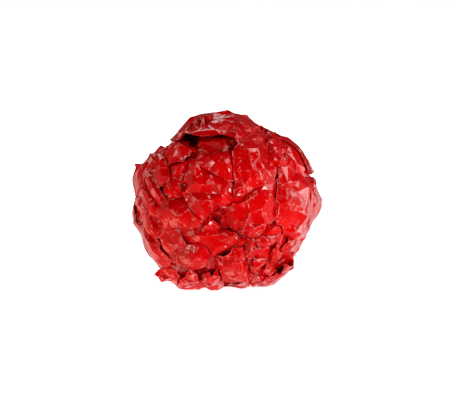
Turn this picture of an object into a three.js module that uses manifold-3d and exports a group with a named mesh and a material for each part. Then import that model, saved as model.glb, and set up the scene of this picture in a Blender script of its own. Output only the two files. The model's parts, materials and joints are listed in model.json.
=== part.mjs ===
// A ball of crumpled glossy red paper, built from its separate folds.
//
// Millimetres, +Z up, +X to the right, the side with the authored folds faces -Y.
// A firm crumpled wad sits in the middle. Four inner folds lie on it, then the outer folds,
// each a thin creased leaf of paper that overlaps the leaf below it. Seven folds are flaps:
// each has one straight creased edge that it can open about.
//
// A point of a fold is written [right, up, lift]: right and up are measured from the ball's
// centre, square to the direction the front folds face, and lift is the height above the ball's
// smooth base surface. A fourth value of BEHIND puts the point on the far half of the ball. A
// fourth value of RIM is for points on the ball's outline: their third value is how far they
// stand forward of the centre.

import * as THREE from 'three';
import { mergeVertices } from 'three/addons/utils/BufferGeometryUtils.js';
import Module from 'manifold-3d';

const wasm = await Module();
wasm.setup();

// ---- driving dimensions ----

const HALF_DEPTH = 45;
const REST_HEIGHT = 46.4;
const LEAN_DEG = 10;
const PAPER = 1.1;
const GAP = 0.34;
const CUT_OUTWARD = 16;
const FORWARD_BIAS = 0.6;
const SMALLEST_DETAIL = 0.1;
const BEHIND = 'behind';
const RIM = 'rim';

// The core wad is a rough ball, this many times divided.
const WAD = { seed: 7, below: 8.5, roughness: 1.6, divisions: 3 };

// The fold that the ball rests on, and the folds of its far side. Angles are in radians.
const BASE = { seed: 3, corners: 7, halfAngle: 0.34, height: 4.8, behindDeg: 22 };
const BACK = {
  seed: 41,
  count: 11,
  leastCorners: 6,
  halfAngle: 0.6,
  height: 1.2,
  heightSpread: 3.4,
  firstTurn: 0.4,
  farthest: 0.94,
  nearest: -0.06,
};

// Rings of corners round the middle of such a fold: its outline, then its creases. Share is of the
// fold's half angle, and spread is how unevenly a corner strays from it.
const OUTLINE_RING = { share: 1, spread: 0.3, roughness: 3, lift: -0.8 };
const CREASE_RINGS = [
  { count: 8, share: 0.66, spread: 0.16, roughness: 5, lift: 0 },
  { count: 4, share: 0.34, spread: 0.14, roughness: 5, lift: 0.6 },
];
const TURN_SPREAD = 0.5;

const GLOSSY_ROUGHNESS = 0.2;

// Radius of the ball's outline, every 15 degrees round from the right-hand side.
const OUTLINE_RADII = [
  48.5, 47, 46.8, 45.5, 43.5, 45, 46.5, 46.8, 46, 42.8, 46.5, 48.5,
  47.5, 47.5, 50, 50, 50.5, 48.5, 45, 47.5, 49.8, 47.5, 45, 46.8,
];

// ---- folds, listed from the outermost inwards ----

const flaps = [
  {
    name: 'flap_hood',
    facing: [-0.05, 1, 0.5],
    outline: [
      [-30, 34.4, 3, RIM], [-25.5, 34.2, 3], [-22, 35.2, 3.5], [-19, 34, 4], [-15, 33.6, 4.5],
      [-10, 34, 4.5], [-5, 34.2, 4.5], [-1.5, 33.6, 4.5], [4, 32.6, 4], [8, 32, 3],
      [11.5, 34.5, 2], [16.4, 38.2, 1], [17.4, 39.8, 3, RIM], [11.5, 42, -9, RIM],
      [-18.5, 41.6, -10, RIM],
    ],
    creases: [
      [-25.6, 37.8, 3, RIM], [-21.5, 40.6, 3, RIM], [-19.4, 43.7, 1, RIM],
      [-13.9, 45.4, 1, RIM], [-7.6, 46.5, 2, RIM], [0, 47.8, 0, RIM], [5.7, 44.8, 3, RIM],
      [10.4, 44.8, 2, RIM], [14.6, 41.6, 3, RIM],
      [-19, 38, -1.4], [-11, 39.4, -2.2], [-7.6, 42.3, -2.2], [-3, 42, -0.5], [-2, 38.4, 4],
      [0, 35.6, 1.6], [3, 43, 3], [-14, 36.2, 4.6], [-6, 36.4, 5], [7, 40.4, 4.4],
      [12, 38.4, 3.2], [-16, 40.4, 3.6], [-11.6, 42.6, 3.4], [-5.6, 39.8, 4],
      [3.6, 38.8, 0.6], [4.6, 35.4, 4.4], [9, 36.4, 1.8], [0.4, 40.6, 1],
    ],
  },
  {
    name: 'flap_corner',
    facing: [0.8, 0.55, 0.35],
    outline: [
      [26, 35.4, 1.5], [31, 32, 1.5], [35, 28.8, 1.6], [37, 26.4, 1.8], [40, 22, 1.8],
      [43.2, 14.4, 1.5], [46, 15.5, 1.5], [39.5, 17.5, 0, BEHIND], [25, 33, 0, BEHIND],
    ],
    creases: [[31.4, 33, 0.6], [37.6, 28, 0.6], [42.8, 20.6, 1.2]],
  },
  {
    name: 'flap_ear',
    facing: [-1, 0.1, 0.3],
    outline: [
      [-43.6, 20.2, 9, RIM], [-44, 16, 1.5], [-43.4, 12, 1.5], [-45.5, 7.5, 1.5],
      [-48.2, 1.6, 8, RIM], [-47.4, 1.2, -8, RIM], [-45.4, 18.8, -9, RIM],
      [-50, 19.2, -1, RIM], [-47.4, 19.2, 5, RIM],
    ],
    creases: [[-50.1, 10.5, 1, RIM], [-47.2, 15, 8, RIM], [-47.4, 9.5, 12, RIM]],
  },
  {
    name: 'flap_wing',
    facing: [1, 0, 0.3],
    outline: [
      [43.6, 9.6, 1.5], [44.9, 3, 1.5], [44.7, -4, 1.5], [43.9, -12.6, 1.5],
      [44.8, -13, 0.5], [44, -10.5, 0, BEHIND], [44, 7.5, 0, BEHIND], [46.4, 8.2, 1],
    ],
    creases: [[48.3, 4.8, 1], [50.4, 0.5, 2], [49.9, -3.5, 1.8], [47.7, -8, 1], [46.5, -1, 1]],
  },
  {
    name: 'flap_tongue',
    outline: [
      [-30.5, -30.6, 0.5], [-24.6, -25.2, 0.5], [-22, -24, 3], [-17, -23.4, 4],
      [-14.5, -23.8, 4], [-11.3, -25.3, 3.5], [-9.6, -27.6, 3], [-9.4, -30.4, 3.5],
      [-11, -33, 3.5], [-14.4, -35, 3.5], [-17.6, -35.3, 3.5], [-22, -33.9, 3.5],
      [-26, -32.2, 2.5], [-29, -31.6, 1],
    ],
    creases: [
      [-22.5, -26, 3.5], [-17.6, -27.4, 5], [-13.4, -31, 5.5], [-14.5, -26.5, 5.8],
      [-22, -28.6, 4.2], [-18, -31, 5], [-15, -34, 4.2], [-26, -29, 2.2],
    ],
  },
  {
    name: 'flap_pocket',
    facing: [0.5, -0.7, 0.45],
    outline: [
      [13.6, -45.4, 11, RIM], [20, -42.7, 15, RIM], [25, -39.8, 17.4, RIM],
      [28.4, -38.6, 18.6, RIM], [29.2, -36, 20.4, RIM], [30.2, -33.2, 22, RIM],
      [31.8, -34.4, 19, RIM],
      [34, -34.2, 12, RIM], [36.2, -32.8, 5, RIM], [34.4, -32.6, -10, RIM],
      [15, -44.3, -12, RIM], [14.6, -46.9, 0, RIM],
    ],
    creases: [
      [34.2, -36, 2, RIM], [30.6, -39.6, 2, RIM], [25, -44.5, 1, RIM], [20, -45.8, 2, RIM],
      [30.8, -37.2, 14, RIM], [25.6, -41.8, 12, RIM],
    ],
  },
  {
    name: 'flap_kite',
    outline: [
      [15.4, -20.1, 1.5], [18, -18.2, 1.5], [26.6, -17.6, 1.2], [25.3, -20.6, 2.6],
      [20.6, -24.2, 3.6], [17.2, -22.6, 2.8],
    ],
    creases: [[21, -20.6, 3.6], [18.2, -20.6, 2]],
  },
];

const frontFolds = [
  {
    name: 'fold_breast',
    outline: [
      [16.6, 37.4, 1], [11, 33.6, 1.5], [8, 31.5, 2], [5, 28, 2.6], [3.5, 25, 3], [3.5, 20, 3.2],
      [4.5, 13.5, 3.6], [6, 11, 3.6], [4.5, 6, 3.4], [4.7, 1, 3.2], [10, 4.3, 3.4],
      [15, 7.6, 3], [20, 8.8, 2.5], [24.5, 9.8, 1.4], [25, 13, 0.8], [25.3, 16, 0],
      [20.5, 21, -0.5], [20.2, 25, -1.2], [20.4, 30, -1], [20.6, 36.8, -0.4],
    ],
    creases: [
      [6, 26.5, 3.8], [11, 26.3, 5.2], [16, 26.8, 3.6], [8, 30, 3], [13, 31.5, 2.2],
      [16.3, 22, 3.8], [8.5, 21, 3.2], [8, 13.5, 5], [13, 16, 4.6], [20, 15, 3.2],
      [17, 33, 2.4], [9, 8, 4.4], [15, 11.5, 4.6], [12, 20, 4.6],
    ],
  },
  {
    name: 'fold_spike',
    facing: [-0.4, -0.5, 1],
    outline: [
      [-35, -37.1, 7, RIM], [-31, -37.9, 11, RIM], [-28.4, -38.8, 14, RIM],
      [-27, -41.8, 12, RIM], [-26.8, -45, 6, RIM], [-31, -44.8, 1, RIM], [-35.4, -43.8, 0, RIM],
      [-36.5, -41, 3, RIM], [-38.3, -39.2, 3, RIM],
    ],
    creases: [[-33, -39.4, 5, RIM], [-33.4, -42.2, 6, RIM], [-30, -41.4, 8, RIM]],
  },
  {
    name: 'fold_brow',
    outline: [
      [-16.5, 21, 0], [-12, 24, 1], [-5, 25.8, 1], [0, 26, 0.8], [4, 26.4, 0], [7, 24.5, -1],
      [8, 13, -1], [7.5, 10.5, -1], [1, 11.2, 3.2], [-5, 14.5, 3.8], [-12, 18, 3.2],
      [-15, 19.4, 1.6],
    ],
    creases: [[-8, 21, 3.4], [-1, 20.5, 4], [1, 15, 3.4], [-4, 18, 4.2], [-2, 23.5, 2.2]],
  },
  {
    name: 'fold_cheek_upper',
    outline: [
      [-20, 21.4, 0], [-16, 21, 0], [-12, 20, -0.3], [-5, 17, -0.3], [1, 13.5, -0.8],
      [7, 11.5, -1], [7.5, 4, -1], [6.5, 1.8, -0.6], [1, -1, 0], [-3.7, -2.8, 2.4],
      [-8, -6, 3.1], [-12.2, -9.7, 3.2], [-16, -7, 1.6], [-19, -3.5, 1], [-22, 1, 0.8],
      [-23, 4, 1.4], [-22, 11, 1.2], [-19.5, 17, 1],
    ],
    creases: [
      [-15.5, 18, 2.6], [-17, 8, 3], [-13, 12, 1.4], [-12, 7.6, 1], [-14, 3.6, -0.6],
      [-8, 3.4, -0.6], [-19.5, 3.6, -0.2], [-9, 12.4, 1.6], [-6, 8, 1.8], [-2.3, 2.6, 2.4],
      [0, 8, 0.4], [3.6, 6.6, -0.4], [-8, -0.4, 2.2], [-15, -0.2, 2.2], [-12, -5, 3.2],
      [1.2, 2.2, 0.6], [-18, 13, 1.6],
    ],
  },
  {
    name: 'fold_column',
    outline: [
      [25.8, 14.5, -0.4], [28, 17.4, 0], [31, 17.4, 0], [36, 14.4, 0], [38.5, 13, 0],
      [43.4, 9.6, 0], [45, 3, 0.2], [44.8, -4, 0], [43.8, -12.8, 0], [39, -12.5, 1.6],
      [33, -13, 1.8], [30, -16, 1.8], [28.8, -13, 1.6], [26.5, -12.2, 2], [25.3, -10.6, 1.6],
      [25.7, 0, 1.6],
    ],
    creases: [
      [31, 9, 2.4], [33, 6.4, 1.6], [36.4, 4, 3], [37, 10, 2], [36.8, -3, 3], [35.2, -9, 2.8],
      [38.4, 1, 2], [30.5, 0, 2.8], [31.5, -4.4, 2.4], [27.6, -2, 2.8], [28, 6.4, 2.4],
      [33, -11, 2.2], [28.4, -8, 2], [41, 7, 1.4], [41.4, -8, 1.4],
    ],
  },
  {
    name: 'fold_centre',
    outline: [
      [-3, -2.8, -1.6], [1, -1.2, -1.6], [6, 1.4, -1.6], [10, 5.5, -1], [15, 9, -1],
      [20, 10.4, -1], [24.9, 10.8, -1.5], [24.7, 0, 0], [24.5, -9.5, 1.4], [21.6, -11.6, 2.4],
      [18.5, -15, 3], [15.5, -18.4, 3.2], [10.5, -18.1, 3], [7.5, -17, 2], [5, -15.4, -0.6],
      [1, -13.4, -1], [0.5, -10, -0.2], [-1, -7.5, -0.6],
    ],
    creases: [
      [10, -0.4, 2.4], [9, -4, 0.8], [8.6, -8, 1], [10, -11, 3.2], [15, 2.6, 1.8], [19, 7.4, 1.4],
      [22.2, 3, 1.8], [17.4, -4.6, 2.8], [15, -6.4, 1.8], [13.5, -12.3, 2.4],
      [19.6, -11.6, 3.6], [14, -14.4, 4], [4, -5, 0], [5, -10, 0.8], [12, -6, 2.2],
      [5.5, -2, 0.8],
    ],
  },
  {
    name: 'fold_cheek_left',
    outline: [
      [-37, -2, -0.8], [-35, -0.2, 0], [-30, 0.2, -0.5], [-22, 1.2, -1.6], [-17, -2, -1.6],
      [-14, -6.5, -1], [-13.2, -11, 0.2], [-14.5, -13.2, 1.4], [-20, -13.8, 2.6],
      [-25.5, -13.6, 3], [-32, -13.7, 2.4], [-35, -13.6, 1.4], [-36.2, -8, 0.6],
    ],
    creases: [
      [-30, -4, 2.4], [-20, -4.4, 1], [-19, -9.4, 1.6], [-25, -9, 3.4], [-31.4, -11.6, 2.2],
      [-34.5, -6, 1.8], [-16.3, -8.8, 2.4], [-18.6, -12.3, 3.6], [-26, -2.4, 0.8],
      [-33, -2.6, 1],
    ],
  },
  {
    name: 'fold_lower_middle',
    outline: [
      [-25, -14.2, -1.6], [-18, -14.6, -1.2], [-13, -14.9, -0.6], [-6, -15.2, 0],
      [0, -15.4, -0.4], [5.2, -17, -1.6], [6.2, -19.8, 0.4], [2, -22.7, 2.4],
      [-1, -24.6, 2.6], [-7.5, -28.1, 3], [-12, -26, 0.4], [-17, -24.4, -0.6],
      [-20.5, -22, -0.8], [-23, -18, -1],
    ],
    creases: [
      [-1.2, -16.7, 2], [1.3, -18.5, 3], [2.6, -20.6, 2.6], [-3, -21, 1.8], [-5, -17.6, 1.4],
      [-10, -18, 1.2], [-16, -18, 1.8], [-16, -21.5, 1.2], [-10, -23.6, 1.4],
      [-6, -24.4, 3], [-2.4, -23, 2.6],
    ],
  },
  {
    name: 'fold_crumple',
    outline: [
      [-15, -9.4, -1], [-11.5, -9.2, -1], [-9.5, -8.4, 0.6], [-5.5, -12.4, 1],
      [-4.8, -14.2, 0.8], [-7, -14.9, 0.4], [-13, -14.4, 0], [-14.5, -12, 0],
    ],
    creases: [[-9.5, -12.4, 2.6], [-12.3, -11.4, -2], [-9.3, -10.2, 2], [-7, -12.8, 1.6]],
  },
  {
    name: 'fold_apron',
    outline: [
      [-6, -30, -2], [-1, -28.3, 0], [4, -25.8, -0.5], [8.6, -24.6, -1.6], [10, -27, -2.6],
      [9.6, -30.6, -0.6], [11.6, -33, -2.4], [12.8, -38, -3.6], [12.4, -43.6, -2.4],
      [10.5, -42.2, 2], [2, -42.5, 2.2], [-1, -42.3, 1], [-3, -38, 0], [-5.5, -34, -1],
    ],
    creases: [
      [-2, -33.8, 1.6], [3, -32, 2.2], [7.2, -31.6, 1.6], [6, -37, 3.2], [3, -40.4, 3.4],
      [1, -39, 2.4], [-0.6, -37, 1.2], [8.6, -37, 3], [10.2, -40.4, 1.4], [5, -29.4, 0.8],
      [0, -30.6, 0.6], [3, -35.4, 2.6],
    ],
  },
  {
    name: 'fold_apron_lip',
    outline: [
      [-1.4, -42.8, 0.5], [2, -43.1, 1], [10.4, -42.8, 0.6], [12.2, -45.2, 0.4],
      [9, -44, 0, BEHIND], [0, -42, -0.6, BEHIND],
    ],
    creases: [[8.4, -47.2, 0, RIM], [3, -45.6, 1, RIM], [0, -44.8, 1, RIM], [5.5, -44.2, 1.8]],
  },
  {
    name: 'fold_lump_left',
    outline: [
      [-29, -40.6, -0.6], [-24, -41, 1], [-21.5, -39.8, 0.6], [-19.3, -36.3, 1.2],
      [-16, -38.5, 1.4], [-15, -42, 1.4], [-14.6, -45, 1], [-12.6, -46.6, 1],
      [-14, -44.6, 0, BEHIND], [-25, -42.6, 0, BEHIND],
    ],
    creases: [
      [-15, -47.9, 1.2], [-22, -48, 2], [-25, -46.6, 1.8], [-27.5, -44.7, 1.4],
      [-20, -43.4, 3], [-18, -39.4, 2.4], [-22.5, -44, 2.6], [-17, -42.4, 2.6],
    ],
  },
  {
    name: 'fold_lump_right',
    outline: [
      [-12.4, -39, 0], [-9, -38, 1], [-6, -37, 0.6], [-4, -41, 0.6], [-1.6, -43.6, 8, RIM],
      [-2.2, -45.6, 1, RIM], [-3, -44, -12, RIM], [-11, -44.4, -12, RIM],
      [-11.8, -46, 0, RIM], [-12.4, -43, 0.6],
    ],
    creases: [
      [-8, -40.2, 3], [-7.4, -44, 2.6], [-10.4, -41.4, 2.4], [-4.4, -44.4, 11, RIM],
      [-5, -47.2, 1, RIM], [-8, -47.2, 1, RIM],
    ],
  },
  {
    name: 'fold_left_lower',
    outline: [
      [-33.4, -13.4, -1.2], [-25, -13.8, -1.4], [-22, -17, 0], [-20.5, -20, 0.8],
      [-18, -23.2, 0.4], [-21, -24.4, 0.6], [-25, -26, 0.4], [-28, -29, -0.8],
      [-30, -28.4, -0.8], [-32, -26.4, -0.4], [-33.8, -24.4, 0], [-34.4, -20, -0.6],
    ],
    creases: [
      [-27, -17, -1.4], [-25.3, -20, 0], [-26.4, -23.4, 0.6], [-31, -22, 0.4],
      [-30, -17.6, -1.8], [-23.4, -21.4, 1.2], [-28.6, -24.6, 0.4], [-29, -26.6, 0],
    ],
  },
  {
    name: 'fold_eye',
    outline: [
      [19.4, 25, -1.4], [25, 25.4, 0], [28.4, 23, 0.6], [30.4, 19.6, 0.4], [28.4, 15, -1],
      [27, 10, -1.8], [24, 9.6, -2], [23.6, 14, -1.8], [21.4, 18, -1.4], [19, 21, -1.6],
    ],
    creases: [[24, 21, 1.4], [26.6, 20, 1.2], [22.6, 23.4, 0]],
  },
  {
    name: 'fold_upper_right',
    outline: [
      [18, 39.2, -0.6], [22.2, 37, 0.5], [25, 36, 0.6], [27.5, 33.4, 0.8], [28.4, 29, 0.6],
      [28.6, 24.6, 0], [26.4, 22.4, -0.8], [22, 23.4, -1.4], [20, 24.4, -1.6], [19, 28, -2],
      [19.6, 34, -1.6],
    ],
    creases: [[22, 31.4, 1.8], [24.5, 26.6, 1.2], [24.6, 31.4, 0.8], [22.4, 34.8, 0.8]],
  },
  {
    name: 'fold_right_shoulder',
    outline: [
      [26.4, 34.4, -0.6], [31, 31.5, 0], [36.5, 28, 0], [40, 24, 0.3], [43, 17.5, 0.5],
      [44, 13.5, 0.3], [40, 12, 0], [36, 13, 0], [31, 15.6, -0.4], [28.4, 18.4, -0.8],
      [27, 22, -0.6], [27, 25, -0.2], [27.4, 29, 0.2],
    ],
    creases: [
      [32, 28, 2], [31, 25, 0.8], [37, 25.2, 2.2], [36.5, 18.6, 2.4], [40.4, 17.2, 2],
      [33, 21, 1.8],
    ],
  },
  {
    name: 'fold_strip_temple',
    outline: [
      [-36.5, 24.8, 0.8], [-33, 22.4, 0.8], [-31, 17, 1.2], [-29.8, 12, 1.2], [-30, 9.6, 0.8],
      [-33, 8.6, 0], [-36, 7.4, 0.4], [-39, 14.4, 1.8], [-39.2, 19, 1.4],
    ],
    creases: [[-35, 17, 2.6], [-34, 12, 2], [-35, 21, 1.8]],
  },
  {
    name: 'fold_upper_left',
    outline: [
      [-40.4, 25.4, 0.6], [-36, 27, 0.6], [-33, 29, 0.6], [-30.6, 31.6, 0.6],
      [-28.6, 33, 0.2], [-25.6, 31, -0.6], [-22, 29.8, -1.6], [-18.4, 28.6, -2],
      [-16.2, 25.6, -1.8], [-15.5, 22.5, -1], [-18.6, 19.6, -1],
      [-24, 20.4, 0], [-30.6, 19, 0], [-33, 23, 0.4], [-36, 25, 0],
    ],
    creases: [
      [-24, 28.6, 1.6], [-20, 26.6, 1.4], [-21, 24, 1.4], [-18, 23, -2.2], [-27, 26.6, 2.6],
      [-28, 23, 2], [-28, 30, 2], [-31.4, 26, 1.6], [-25.4, 22.6, 0.6],
    ],
  },
  {
    name: 'fold_temple',
    outline: [
      [-35, 9.4, -0.6], [-30.5, 11.4, 0.6], [-25.2, 10.8, 0.6], [-24, 7, 0.8],
      [-24.6, 1.6, 0.8], [-31, 1.2, 0], [-33, 3.5, -0.5],
    ],
    creases: [[-30, 6, 2], [-28.4, 3.4, 1.8]],
  },
  {
    name: 'fold_temple_upper',
    outline: [
      [-31, 19.4, -0.6], [-24, 21.2, -0.6], [-19, 20.8, -1], [-20.5, 14, -0.6], [-22.4, 9.4, -0.4],
      [-26, 9.8, -0.4], [-30.6, 10.8, -0.6], [-30, 15, -0.4],
    ],
    creases: [
      [-26, 16.6, 1.8], [-23, 18, 1.2], [-27.6, 12.8, 1.4], [-24.4, 13.4, -0.2],
      [-28.4, 17.6, 0.6],
    ],
  },
  {
    name: 'fold_strip_upper',
    outline: [
      [-40.8, 24.8, 1.6], [-39, 20.6, 0.6], [-39.5, 15.5, 0.8], [-36.3, 8, 0.4], [-33.8, 3, -0.4],
      [-30.5, -0.4, -1.4], [-34, -1.4, -0.4], [-36.6, -1.8, 0.2], [-40, 5, 1.2],
      [-42.3, 10, 1.2], [-44.4, 14, 0.8], [-45.4, 18.6, 1.2],
    ],
    creases: [[-38, 6, 1.8], [-36, 1.5, 1.2], [-41, 12.6, 2]],
  },
  {
    name: 'fold_strip_middle',
    outline: [
      [-46.4, 12.6, 0.4], [-42.8, 12, 0.2], [-39.4, 6.4, 0], [-35.8, -2, -0.4],
      [-34.8, -9, -0.8], [-36.2, -12, -0.4], [-40, -7, 0.6], [-45, 1.8, 1], [-47.4, 3, 1.2],
    ],
    creases: [[-42, 4, 2.2], [-39.4, -3, 1.8], [-44.5, 6, 2]],
  },
  {
    name: 'fold_strip_lower',
    outline: [
      [-48.4, 3, 0], [-44.6, 4, -0.2], [-40.8, 0, -0.4], [-37, -7.6, -0.8], [-35, -12.6, -1.2],
      [-34, -15, -1.2], [-35, -19, -0.4], [-37, -19.4, 0.2], [-41, -17, 1], [-43.6, -12, 1.2],
      [-45.4, -12.4, 0.6], [-48, -10.9, 1], [-47.4, -7.4, 0.8], [-48.6, -3, 1],
    ],
    creases: [[-44, -4, 2.2], [-41, -8.4, 2], [-38.4, -14, 1.6], [-46.8, -2, 1.8], [-45, -9, 0]],
  },
  {
    name: 'fold_jaw',
    outline: [
      [-47, -11.4, -0.4], [-43.6, -12.6, -0.6], [-40.6, -15.6, -0.4], [-36.4, -18.2, 0.2],
      [-36.4, -24, 1.2], [-32.6, -28.5, 0.4], [-30, -33.4, -0.4], [-32, -35.4, -0.8],
      [-35.4, -36.6, 0], [-37.4, -33.4, 0.2], [-41.6, -29.2, 0.6], [-44.6, -24.2, 0.6],
      [-45.4, -18, 0.4],
    ],
    creases: [[-41, -22, 2.6], [-39, -27, 2.8], [-35, -31, 1.6], [-43, -19, 2]],
  },
  {
    name: 'fold_gully',
    outline: [
      [-36.6, -17.6, -1.4], [-33.4, -16, -1.6], [-32.4, -21, -1.4], [-32, -25, -1.2],
      [-29.5, -29, -1.4], [-28.6, -31, -1.4], [-31, -33.6, -1.4], [-34, -29.6, -1],
      [-37.4, -24.4, -0.8],
    ],
    creases: [],
  },
  {
    name: 'fold_kite_root',
    outline: [
      [16.6, -18.9, -0.6], [21, -13.4, 0.4], [23.5, -12.2, 0.4], [28, -13.2, 0.4],
      [29.4, -15.5, 0], [27.2, -18.9, -0.4],
    ],
    creases: [[24.5, -13.8, 2.4], [24, -16, 1.8], [27.3, -15, 1.6], [21, -16.4, 1.6]],
  },
  {
    name: 'fold_right_low_upper',
    outline: [
      [29.4, -18.6, -1], [30, -15.4, -0.6], [33, -12.2, -0.4], [39, -11.8, -0.4],
      [44.4, -13, 0], [42.6, -17, 0.4], [40.6, -20.2, 0.4], [36, -20.4, 1.4], [33, -18.9, 1.4],
    ],
    creases: [[36, -16, 2.4], [38.6, -17.2, 2], [33, -16.8, 1]],
  },
  {
    name: 'fold_right_low_lower',
    outline: [
      [30, -20.6, 0], [33, -18.6, -0.4], [36, -19.8, -0.6], [38.4, -21.3, 0],
      [38.2, -24.3, 0.2], [37.2, -27.4, 0.8], [30, -27.2, 1.8], [28.4, -25.4, 1],
      [30.2, -23.2, 1],
    ],
    creases: [[33, -21.6, 2], [34, -25, 2.2], [36, -23, 1.4]],
  },
  {
    name: 'fold_knuckle',
    outline: [
      [11.8, -34.5, -0.6], [13.6, -31.4, 0.4], [17.2, -32, 0.2], [20.5, -32.5, 0.6],
      [23.5, -35.3, 0.8], [25.4, -38, 0.6], [22.6, -40.4, 0.6], [17.8, -39.8, -0.4],
      [16, -39.9, 0.6], [13, -38.6, -0.4],
    ],
    creases: [[15.3, -35, 2.2], [17.3, -36, -0.6], [20, -36.4, 2.4], [22.8, -37.6, 1.8]],
  },
  {
    name: 'fold_right_low_inner',
    outline: [
      [27, -17.6, -0.5], [29, -18.4, -1], [30.5, -21, -0.5], [30.4, -24, 0.3],
      [30.4, -27.2, 1.2], [27.2, -30.2, 1.2], [24.8, -32.8, 0.6], [22.8, -35.4, 0],
      [22.8, -32.4, -0.8], [22.4, -28, -1.4], [23.4, -24, -1.4], [25.5, -20, -0.4],
    ],
    creases: [[26.6, -22.4, 1.2], [25, -26, 1.4], [27.4, -26, 0.6]],
  },
  {
    name: 'fold_pocket_side',
    outline: [
      [37.8, -27.4, 0], [34, -27.6, -1.6], [32.4, -31, -2.6], [32, -36, -2.8],
      [34.5, -36, -1], [36.6, -33, 0], [37, -31, 0],
    ],
    creases: [[34.6, -31.6, -0.4]],
  },
  {
    name: 'fold_low_right_crumple',
    outline: [
      [10.4, -19.6, -1], [14, -18.4, -1.6], [17, -19.6, -1.6], [20.5, -23.4, -0.6],
      [22.6, -24.4, -1.4], [22, -28, -1.6], [21.4, -31, -1], [20.5, -32.4, 0.2],
      [16, -32, 0.4], [12, -33.2, -0.6], [10.4, -29, -0.8], [10.4, -25, -0.8],
    ],
    creases: [
      [15.5, -23.4, -1.6], [13, -22, 1.4], [17, -24.6, 1.4], [16.4, -28.2, 0.8],
      [19.6, -28.8, -0.8], [18.6, -25.6, 1.2], [15, -30, 2.4], [19, -30.4, 2.4],
      [12.6, -26, 0.8], [12.8, -30, -0.6],
    ],
  },
  {
    name: 'fold_low_plate',
    outline: [
      [12.4, -39, -1.6], [16, -40, -1.2], [21.6, -39.6, -1.6], [25, -36.4, -1.6],
      [28.6, -33.4, -1.6], [29.6, -34.4, -3], [28.6, -38.8, -3.4], [20, -43.6, -0.6],
      [13.6, -45.8, 0], [12, -44, -0.8],
    ],
    creases: [[17.4, -42.3, 0.8]],
  },
  {
    name: 'fold_recess',
    outline: [
      [-20, 26, -2.6], [-14, 30, -2.2], [-8, 30.4, -1.6], [-2, 30.4, -1.2], [3, 31.4, -0.6],
      [8, 32.6, -0.6], [9, 28, -1.6], [6, 24.6, -2.4], [0, 23.6, -2.6], [-8, 23.2, -2.6],
      [-15, 21.6, -2.6],
    ],
    creases: [
      [-10, 28.8, -3.2], [-4, 28.8, -1.6], [1.4, 29.4, -2.6], [-13, 26.8, -1.8], [-7, 27.2, -3.6],
      [0, 27.4, -1.2], [3.4, 27.6, -3],
    ],
  },
  {
    name: 'fold_wedge',
    outline: [
      [4, -19.4, -3], [10.6, -19.2, -2.4], [9.9, -21.5, -2], [8, -25, -2.2],
      [2, -24.8, -3.6], [-2, -26.4, -4.6],
    ],
    creases: [[6.6, -22, -1.6]],
  },
];

const innerFolds = [
  {
    name: 'inner_fold_top',
    outline: [
      [-27, 32.6, -4.6], [-21, 34.6, -5.4], [-10, 36, -5.6], [0, 36, -5.6], [9, 34, -5],
      [8, 26, -4.8], [2, 22, -4.6], [-8, 20, -4.4], [-17, 21, -4.4], [-24, 27, -4.4],
    ],
    creases: [
      [-21, 31.4, -6.6], [-13, 32.6, -5], [-7, 33.4, -3.8], [-1, 32.6, -5.4], [4, 33, -4.4],
      [-12, 28.2, -6], [-3, 28, -6],
    ],
  },
  {
    name: 'inner_fold_left',
    outline: [
      [-30, 16, -4], [-20, 16, -4], [-17, 6, -3.8], [-10, -4, -3.8], [-2, 1, -4.4],
      [2, -6, -4], [1, -14, -4], [-4, -18, -4], [-20, -17, -4.4], [-32, -10, -4.4],
      [-34, 4, -4],
    ],
    creases: [
      [-24.4, 8, -2.4], [-24, 3, -3.4], [-4.6, -8.6, -5.6], [-6.4, -5.8, -3.6], [-2, -10, -3],
      [-12, -11, -4.6], [-22, -8, -5],
    ],
  },
  {
    name: 'inner_fold_right',
    outline: [
      [20, 16, -4], [29, 15, -4], [31, 2, -4], [31, -10, -4], [32, -22, -4.4], [38, -26, -5],
      [36, -33, -8], [28, -38.6, -8], [20, -36, -5], [21, -24, -4.6], [18, -14, -4.2],
      [18, 0, -4],
    ],
    creases: [
      [25, 6, -5.6], [25, -4, -5.4], [24, -14, -4.8], [27.4, -31, -13], [32, -29, -13],
      [30, -33.4, -9], [25.4, -34.6, -10], [27, -23, -4.8],
    ],
  },
  {
    name: 'inner_fold_low',
    outline: [
      [-33, -29, -4], [-24, -27, -5], [-10, -22, -5], [0, -20, -5.2], [12, -17, -4.4],
      [19, -22, -4.8], [17, -34, -5], [16, -44, -3], [4, -43, -4], [-10, -43, -3],
      [-24, -43, -3], [-31, -40, -3], [-33, -35, -3.4],
    ],
    creases: [
      [-25, -34.4, -4], [-28, -36.6, -3], [-22.4, -38, -5], [-9, -33, -3.2], [-15, -38, -5],
      [11, -26, -6], [11.4, -32, -5.4], [11.6, -38, -5.6], [3, -26, -5.6], [-13, -41, -3],
    ],
  },
];

// ---- helpers ----

// A repeatable stream of values from 0 to 1, so every build gives the same folds.
function repeatableRandom(seed) {
  let state = seed;
  return () => {
    state = (state * 1664525 + 1013904223) % 4294967296;
    return state / 4294967296;
  };
}

function outlineRadius(right, up) {
  const turn = (Math.atan2(up, right) / (2 * Math.PI) + 1) % 1;
  const place = turn * OUTLINE_RADII.length;
  const before = Math.floor(place) % OUTLINE_RADII.length;
  const after = (before + 1) % OUTLINE_RADII.length;
  return THREE.MathUtils.lerp(OUTLINE_RADII[before], OUTLINE_RADII[after], place % 1);
}

// Leans the front folds back, so they face a little above the horizon.
function lean(point) {
  return point.applyAxisAngle(
    new THREE.Vector3(1, 0, 0),
    -THREE.MathUtils.degToRad(LEAN_DEG),
  );
}

// Presses the underside flat where the ball rests.
function press(point) {
  return new THREE.Vector3(point.x, point.y, Math.max(point.z, -REST_HEIGHT));
}

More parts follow.
